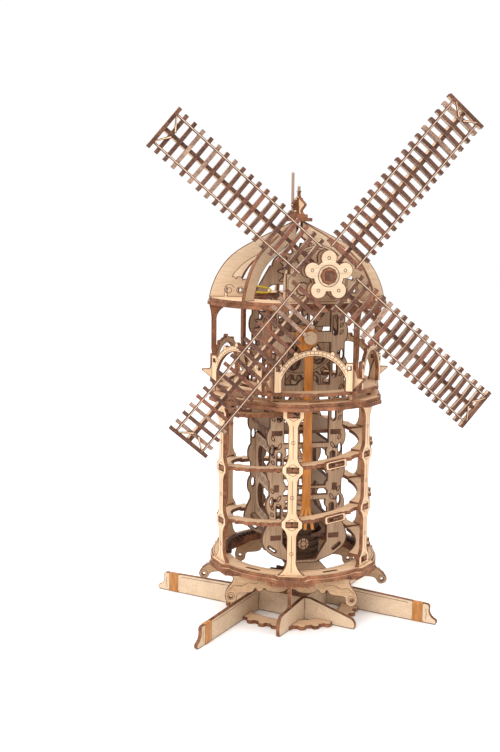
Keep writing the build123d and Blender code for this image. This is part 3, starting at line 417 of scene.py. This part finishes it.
for name, thing in sorted(nodes.items()):
    mesh = thing.data
    mesh.materials.clear()
    if name in BANDS:
        mesh.materials.append(BANDS[name])
        continue
    if name in RODS or name in TALL_RODS:
        mesh.materials.append(dowel_tall if name in TALL_RODS else dowel)
        if name == "windshaft":
            mesh.materials.append(dark_edge)
            for polygon in mesh.polygons:
                polygon.material_index = 1 if polygon.center.y < SHAFT_END * MM else 0
        continue
    face = flat_face if name in FLAT_NODES else tall_face
    rim = dark_edge if name in DEEP_EDGE_NODES else edge
    # near-black colour: smoked wood, and painted shade on the toothed ring
    if name in SMOKE_AND_SHADE_NODES:
        face, rim = smoke_and_shade_face, smoke_and_shade_edge
    # the inner frame and its gears wear birch darkened as painted shade
    if name in FRAME_NODES:
        face, rim = inner_shade_face, dark_edge
    if name in LEG_NODES:
        face = leg_face
    if name in SLATS:
        face = slat_side
    if name == "sail_rails":
        face = rail_face
    if name == "scroll_plates":
        face = shaded_face
    mesh.materials.append(face)
    mesh.materials.append(rim)
    places, triangles, owner = solids(mesh)
    veneer_side, normal = plate_normals(places, triangles, owner, FIXED.get(name))
    index = np.where(veneer_side, 0, 1).astype(np.int32)
    if name in SLATS:
        for extra in (rail_face, tan_edge, red_edge):
            mesh.materials.append(extra)
        for solid in np.unique(owner):
            own = owner == solid
            index[own & veneer_side] = random.choice((0, 0, 2))
            index[own & ~veneer_side] = random.choice((1, 1, 3, 4))
    middle = places[triangles].mean(axis=1)
    if name == "hub_plates":
        index[middle[:, 1] < BOSS_FACE * MM] = 1
    if name == "gallery_posts":
        index[middle[:, 2] > DARK_POST_Z * MM] = 1
    mesh.polygons.foreach_set("material_index", index)
    mesh.update()
    if name not in SMOKE_AND_SHADE_NODES:
        width = FRAME_SCORCH if name in FRAME_NODES else SCORCH
        scorch_lines("scorch_" + name, thing["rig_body"], places, triangles, veneer_side, normal, width)


# --------------------------------------------------------- engraving and extras

ENGRAVE = 0.04 * MM         # above the veneer
RIGHT = np.array((1.0, 0.0, 0.0))
BACK = np.array((0.0, 1.0, 0.0))
UP = np.array((0.0, 0.0, 1.0))


def compass(azimuth):
    """Unit vector away from the axis; azimuth runs from -Y towards +X."""
    a = math.radians(azimuth)
    return np.array((math.sin(a), -math.cos(a), 0.0))


def upright(azimuth, radius):
    """Outward-facing place on the tower: origin, the direction to the right and up."""
    out = compass(azimuth)
    return out * radius * MM, np.array((-out[1], out[0], 0.0)), UP


def level(height):
    """Place on an upper face."""
    return np.array((0.0, 0.0, height * MM)), RIGHT, BACK


def facing(depth, height=0.0):
    """Place on a plate that looks to the front, with its middle on the axis."""
    return np.array((0.0, depth * MM, height * MM)), RIGHT, UP


def arc(x, y, radius, start, end, steps=24, end_radius=None):
    """Points along an arc, or a spiral when the end radius differs."""
    last = radius if end_radius is None else end_radius
    points = []
    for k in range(steps + 1):
        share = k / steps
        a = math.radians(start + (end - start) * share)
        r = radius + (last - radius) * share
        points.append((x + r * math.cos(a), y + r * math.sin(a)))
    return points


def stroke(points, width):
    """Left and right rims of a line drawn with a laser of some width."""
    points = [np.array(p, float) for p in points]
    rims = []
    for k, point in enumerate(points):
        before = points[max(k - 1, 0)]
        after = points[min(k + 1, len(points) - 1)]
        along = after - before
        along = along / max(np.linalg.norm(along), 1e-9)
        side = np.array((-along[1], along[0])) * width / 2
        rims.append((point + side, point - side))
    return rims


def engrave(name, body, drawings, width):
    """Thin burnt lines on plate faces: drawings are (place, list of point lists)."""
    points, quads = [], []
    for (origin, right_way, up_way), lines in drawings:
        face_out = np.cross(right_way, up_way)
        for line in lines:
            base = len(points)
            for pair in stroke(line, width):
                for x, y in pair:
                    points.append(tuple(origin + (right_way * x + up_way * y) * MM + face_out * ENGRAVE))
            for k in range(len(line) - 1):
                a = base + 2 * k
                quads.append((a, a + 1, a + 3, a + 2))
    thing = add_mesh(name, points, quads, scorch)
    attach(thing, body)
    return thing


def closed_tube(name, body, path, radius, material, sides=8):
    """Round loop along a closed path of points in millimetres."""
    path = [np.array(p, float) * MM for p in path]
    count = len(path)
    points, quads = [], []
    for k, place in enumerate(path):
        along = path[(k + 1) % count] - path[k - 1]
        along = along / np.linalg.norm(along)
        helper = UP if abs(along[2]) < 0.9 else RIGHT
        one = np.cross(along, helper)
        one = one / np.linalg.norm(one)
        two = np.cross(along, one)
        for j in range(sides):
            a = 2 * math.pi * j / sides
            points.append(tuple(place + (one * math.cos(a) + two * math.sin(a)) * radius * MM))
    for k in range(count):
        for j in range(sides):
            here, after = k * sides, (k + 1) % count * sides
            beside = (j + 1) % sides
            quads.append((here + j, here + beside, after + beside, after + j))
    thing = add_mesh(name, points, quads, material)
    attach(thing, body)
    return thing


# columns: a line and a small ring down every waist, a chevron over and under every slot
drawings = []
for column in range(COLUMNS):
    heights = [FIRST_SLOT + SLOT_RISE * step for step in range((column + 5) % COLUMNS, SLOTS, COLUMNS)]
    lines = []
    for height in heights:
        for way in (1, -1):
            lines.append([(-3.6, height + way * 3.1), (0, height + way * 5.2), (3.6, height + way * 3.1)])
    gaps = [end for height in heights for end in (height - 9.0, height + 9.0)]
    stops = [COLUMN_BOTTOM] + gaps + [COLUMN_TOP]
    for low, high in zip(stops[::2], stops[1::2]):
        if high - low > 6:
            lines.append([(0, low), (0, high)])
            lines.append(arc(0, (low + high) / 2, 1.5, 0, 360, 12))
    drawings.append((upright(COLUMN_TURN + 60 * column, COLUMN_FACE), lines))
engrave("column_engraving", "tower", drawings, 0.45)

# fence arches: two arcs with a row of short spokes between them
drawings = []
for panel in range(COLUMNS):
    lines = [arc(0, ARCH_Z, 29.7, 24, 156), arc(0, ARCH_Z, 32.4, 26, 154)]
    for k in range(19):
        a = math.radians(32 + 116 * k / 18)
        lines.append([(r * math.cos(a), ARCH_Z + r * math.sin(a)) for r in (29.9, 32.2)])
    drawings.append((upright(BALCONY_TURN + 60 * panel, FENCE_FACE), lines))
engrave("fence_engraving", "tower", drawings, 0.4)

# rings: interrupted circles on the upper faces
lines = []
for column in range(COLUMNS):
    middle = COLUMN_TURN - 60 + 60 * column
    lines.append(arc(0, 0, 71.6, middle - 20, middle + 20))
    lines.append(arc(0, 0, 61.0, middle - 22, middle + 22))
engrave("base_ring_engraving", "tower", [(level(BASE_RING_TOP), lines)], 0.5)
lines = [arc(0, 0, 70.8, 30 * k + 3, 30 * k + 27, 12) for k in range(12)]
engrave("rim_engraving", "tower", [(level(RIM_TOP), lines)], 0.4)
lines = [arc(0, 0, 75.6, 30 * k + 2, 30 * k + 28, 12) for k in range(12)]
engrave("dome_ring_engraving", "tower", [(level(DOME_RING_TOP), lines)], 0.4)

# scroll plates: a spiral in every curl and a wave along the upper edge
drawings = []
SCROLLS = (
    (COLUMN_TURN, 58.5, 52.0),
    (COLUMN_TURN + 180, 58.5, 52.0),
    (COLUMN_TURN, HALF_PLY, 81.0),
    (COLUMN_TURN + 180, HALF_PLY, 81.0),
)
for azimuth, radius, reach in SCROLLS:
    lines = []
    for side in (-1, 1):
        start, end = (60, -330) if side > 0 else (120, 510)
        lines.append(arc(side * reach, 28.4, 2.2, start, end, 30, 3.8))
        wave = [(side * (reach - k * 1.6), 37.0 + k * 0.32 + 0.9 * math.sin(k * 0.8)) for k in range(2, 16)]
        lines.append([(side * (reach + 2.4), 33.2)] + wave)
    drawings.append((upright(azimuth, radius), lines))
engrave("scroll_engraving", "tower", drawings, 0.45)

# side ribs of the dome: a spiral beside the boss
drawings = []
for azimuth in (84, 264):
    out = compass(azimuth)
    back = np.cross(out, UP)
    spiral = arc(60.5, 289.5, 1.0, 0, 520, 36, 5.0)
    drawings.append(((back * HALF_PLY * MM, out, UP), [spiral, arc(50.6, 289.0, 3.0, 0, 360, 20)]))
    mirrored = [(-x, y) for x, y in spiral]
    drawings.append(((back * -HALF_PLY * MM, -out, UP), [mirrored, arc(-50.6, 289.0, 3.0, 0, 360, 20)]))
engrave("rib_engraving", "tower", drawings, 0.5)

# inner frame: rows of burnt leaves down both posts and round the side windows
def leaf(x, z, length, width, tilt):
    """Closed pointed oval about (x, z)."""
    points = []
    for k in range(17):
        a = 2 * math.pi * k / 16
        u, v = length / 2 * math.cos(a), width / 2 * math.sin(a) * abs(math.sin(a)) ** 0.4
        c, d = math.cos(math.radians(tilt)), math.sin(math.radians(tilt))
        points.append((x + u * c - v * d, z + u * d + v * c))
    return points


lines, dashes = [], []
for side in (-1, 1):
    for height in POST_SLOTS:
        for step in (-6.0, 0.0, 6.0):
            lines.append(leaf(side * 29.4, height + step, 4.6, 2.0, 90 - side * 35))
        dashes.append([(side * 21.4, height - 8.0), (side * 21.4, height + 8.0)])
    for height in POST_LEAVES:
        lines.append(leaf(side * 23.5, height, 6.0, 2.6, 90 + side * 30))
        lines.append(leaf(side * 29.6, height + 7.0, 5.0, 2.2, 90 - side * 30))
engrave("frame_leaves", "tower", [(facing(FRAME_FACE), lines)], 0.9)
engrave("frame_lines", "tower", [(facing(FRAME_FACE), dashes)], 0.7)
lines = []
for z in SIDE_LEAVES:
    for k in range(9):
        lines.append(leaf(7.0 * (k - 4), z, 6.4, 2.6, 40 if k % 2 else 140))
engrave("frame_side_leaves", "tower", [(upright(turn, FRAME_SIDE), lines) for turn in (90, 270)], 0.9)


def wheel_rings(name, body, y, height, drawn):
    """Circles on the front face of a wheel."""
    engrave(name, body, [(facing(y, height), drawn)], 0.6)


inner_ring = arc(0, 0, 8.2, 0, 360, 24)
gallery_marks = [arc(0, 0, 34.6, 0, 360, 60), inner_ring]
wheel_rings("gallery_gear_rings", "gallery_shaft", GALLERY_FACE, GALLERY_Z, gallery_marks)
lower_marks = [arc(0, 0, 24.6, 0, 360, 48), inner_ring]
wheel_rings("lower_gear_rings", "lower_shaft", LOWER_FACE, LOWER_Z, lower_marks)
wheel_rings("brake_wheel_rings", "sails", BRAKE_FACE, SHAFT_Z, [arc(0, 0, 17.4, 0, 360, 40)])
hub_marks = []
for k in range(5):
    a = math.radians(90 + 72 * k)
    hub_marks.append(arc(14.2 * math.cos(a), 14.2 * math.sin(a), 1.2, 0, 360, 10))
hub_marks.append(arc(0, 0, 8.6, 0, 360, 30))
wheel_rings("hub_rings", "sails", HUB_FACE, SHAFT_Z, hub_marks)

# face board: two arcs, with two leaves and a bent line at each side
board_marks = [arc(0, SHAFT_Z, 21.4, 20, 160, 30), arc(0, SHAFT_Z, 19.6, 28, 152, 30)]
for side in (-1, 1):
    board_marks.append(leaf(side * 19.0, 290.5, 8.0, 3.4, 90 + side * 25))
    board_marks.append(leaf(side * 13.0, 288.0, 6.0, 2.6, 90 + side * 60))
    board_marks.append([(side * 24.6, 285.0), (side * 24.6, 302.0), (side * 22.6, 305.0)])
engrave("board_engraving", "tower", [(facing(BOARD_FACE), board_marks)], 0.55)

# base bars: a fine line under the upper edge and a bent one beside the rubber band
bars = []
for direction, offset in ((-41.4, 23.0), (138.6, 23.0), (-131.4, -23.0), (48.6, -23.0)):
    along = np.array((math.cos(math.radians(direction)), math.sin(math.radians(direction)), 0.0))
    side = np.array((-along[1], along[0], 0.0))
    lines = [[(32.0, 17.2), (104.0, 15.6)], [(120.6, 3.0), (121.4, 8.0), (120.6, 13.0)]]
    mirrored = [[(-x, z) for x, z in line] for line in lines]
    middle = side * (offset * MM)
    skin = np.cross(along, UP) * HALF_PLY * MM
    bars.append(((middle + skin, along, UP), lines))
    bars.append(((middle - skin, -along, UP), mirrored))
engrave("bar_engraving", "tower", bars, 0.45)

# barrel: a pale curved badge, round, with a dark ring and six dark spokes
BADGE_CELLS = 12
badge_points, badge_faces = [], []
for row in range(BADGE_CELLS + 1):
    for step in range(BADGE_CELLS + 1):
        a = math.radians(-15 + 30 * step / BADGE_CELLS)
        x = BARREL_SKIN * math.sin(a)
        y = BARREL_Y - BARREL_SKIN * math.cos(a)
        z = BADGE_BOTTOM + BADGE_SIZE * row / BADGE_CELLS
        badge_points.append((x * MM, y * MM, z * MM))
for row in range(BADGE_CELLS):
    for step in range(BADGE_CELLS):
        x, z = ((cell + 0.5) * 2 / BADGE_CELLS - 1 for cell in (step, row))
        distance = math.hypot(x, z)
        on_ring = 0.45 < distance < 0.62
        on_spoke = distance >= 0.62 and math.cos(6 * math.atan2(z, x)) > 0.8
        if distance < 0.97 and not on_ring and not on_spoke:
            corner = row * (BADGE_CELLS + 1) + step
            badge_faces.append((corner, corner + 1, corner + BADGE_CELLS + 2, corner + BADGE_CELLS + 1))
used = sorted({corner for face in badge_faces for corner in face})
place_of = {old: new for new, old in enumerate(used)}
badge_faces = [tuple(place_of[corner] for corner in face) for face in badge_faces]
badge = add_mesh("barrel_badge", [badge_points[k] for k in used], badge_faces, shaded_face)
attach(badge, "winding_drum")

# a spare rubber loop hung between two bosses of the dome
LOOP_STEPS = 28
loop = []
for k in range(LOOP_STEPS):
    a = 2 * math.pi * k / LOOP_STEPS
    sag = 2.6 * math.sin(a) - 1.4 * math.cos(a)
    loop.append((-38.0 + 11.5 * math.cos(a), -14.0 + 2.0 * math.cos(a), 291.0 + sag))
closed_tube("dome_rubber_loop", "tower", loop, 0.7, lemon)

# ------------------------------------------------------------- floor and light

FLOOR_REACH = 6.0           # metres from here on
FLOOR_DROP = 0.0003
paper = Shader("white_paper")
grain = paper.noise(paper.coords((3, 3, 3)))
paper.colour(paper.ramp(grain, (0.3, (0.98, 0.98, 0.98)), (0.7, (0.995, 0.995, 0.995))))
paper.bsdf.inputs["Roughness"].default_value = 0.9
corners = [(x * FLOOR_REACH, y * FLOOR_REACH, 0) for x, y in ((-1, -1), (1, -1), (1, 1), (-1, 1))]
floor = add_mesh("studio_floor", corners, [(0, 1, 2, 3)], paper.mat)
floor.location.z = -FLOOR_DROP


def area_light(name, place, target, size, power):
    """Square white lamp at a place, turned towards its target."""
    data = bpy.data.lights.new(name, "AREA")
    data.size = size
    data.energy = power
    lamp = bpy.data.objects.new(name, data)
    lamp.location = place
    lamp.rotation_euler = (Vector(target) - Vector(place)).to_track_quat("-Z", "Y").to_euler()
    bpy.context.scene.collection.objects.link(lamp)


area_light("key", (-1.0, -1.3, 1.3), (0, 0, 0.2), 1.0, 23)
area_light("top", (0.1, 0.2, 1.9), (0, 0, 0.1), 1.6, 17)
area_light("fill", (1.2, -1.2, 0.6), (0, 0, 0.2), 1.0, 2.5)

WORLD_STRENGTH = 1.03
world = bpy.data.worlds.new("studio")
world.use_nodes = True
background = world.node_tree.nodes["Background"]
background.inputs["Color"].default_value = (1.0, 1.0, 1.0, 1.0)
background.inputs["Strength"].default_value = WORLD_STRENGTH
bpy.context.scene.world = world
bpy.context.scene.view_settings.view_transform = "Standard"


# ---------------------------------------------------------------------- camera

YAW = math.radians(-12.572)
PITCH = math.radians(-8.654)
ROLL = math.radians(-0.614)
CAMERA_PLACE = (-0.2438, -0.9061, 0.3551)
FOCAL_LENGTH = 51.1         # millimetres, as is the sensor
SENSOR_WIDTH = 36.0
turn = Matrix.Rotation(YAW, 3, "Z") @ Matrix.Rotation(PITCH, 3, "X") @ Matrix.Rotation(ROLL, 3, "Y")
right, forward, up = turn.col[0], turn.col[1], turn.col[2]
lens = bpy.data.cameras.new("camera")
lens.lens = FOCAL_LENGTH
lens.sensor_width = SENSOR_WIDTH
lens.clip_start = 0.05
lens.clip_end = 30.0
camera = bpy.data.objects.new("camera", lens)
pose = Matrix((right, up, -forward)).transposed().to_4x4()
pose.translation = Vector(CAMERA_PLACE)
camera.matrix_world = pose
bpy.context.scene.collection.objects.link(camera)
bpy.context.scene.camera = camera
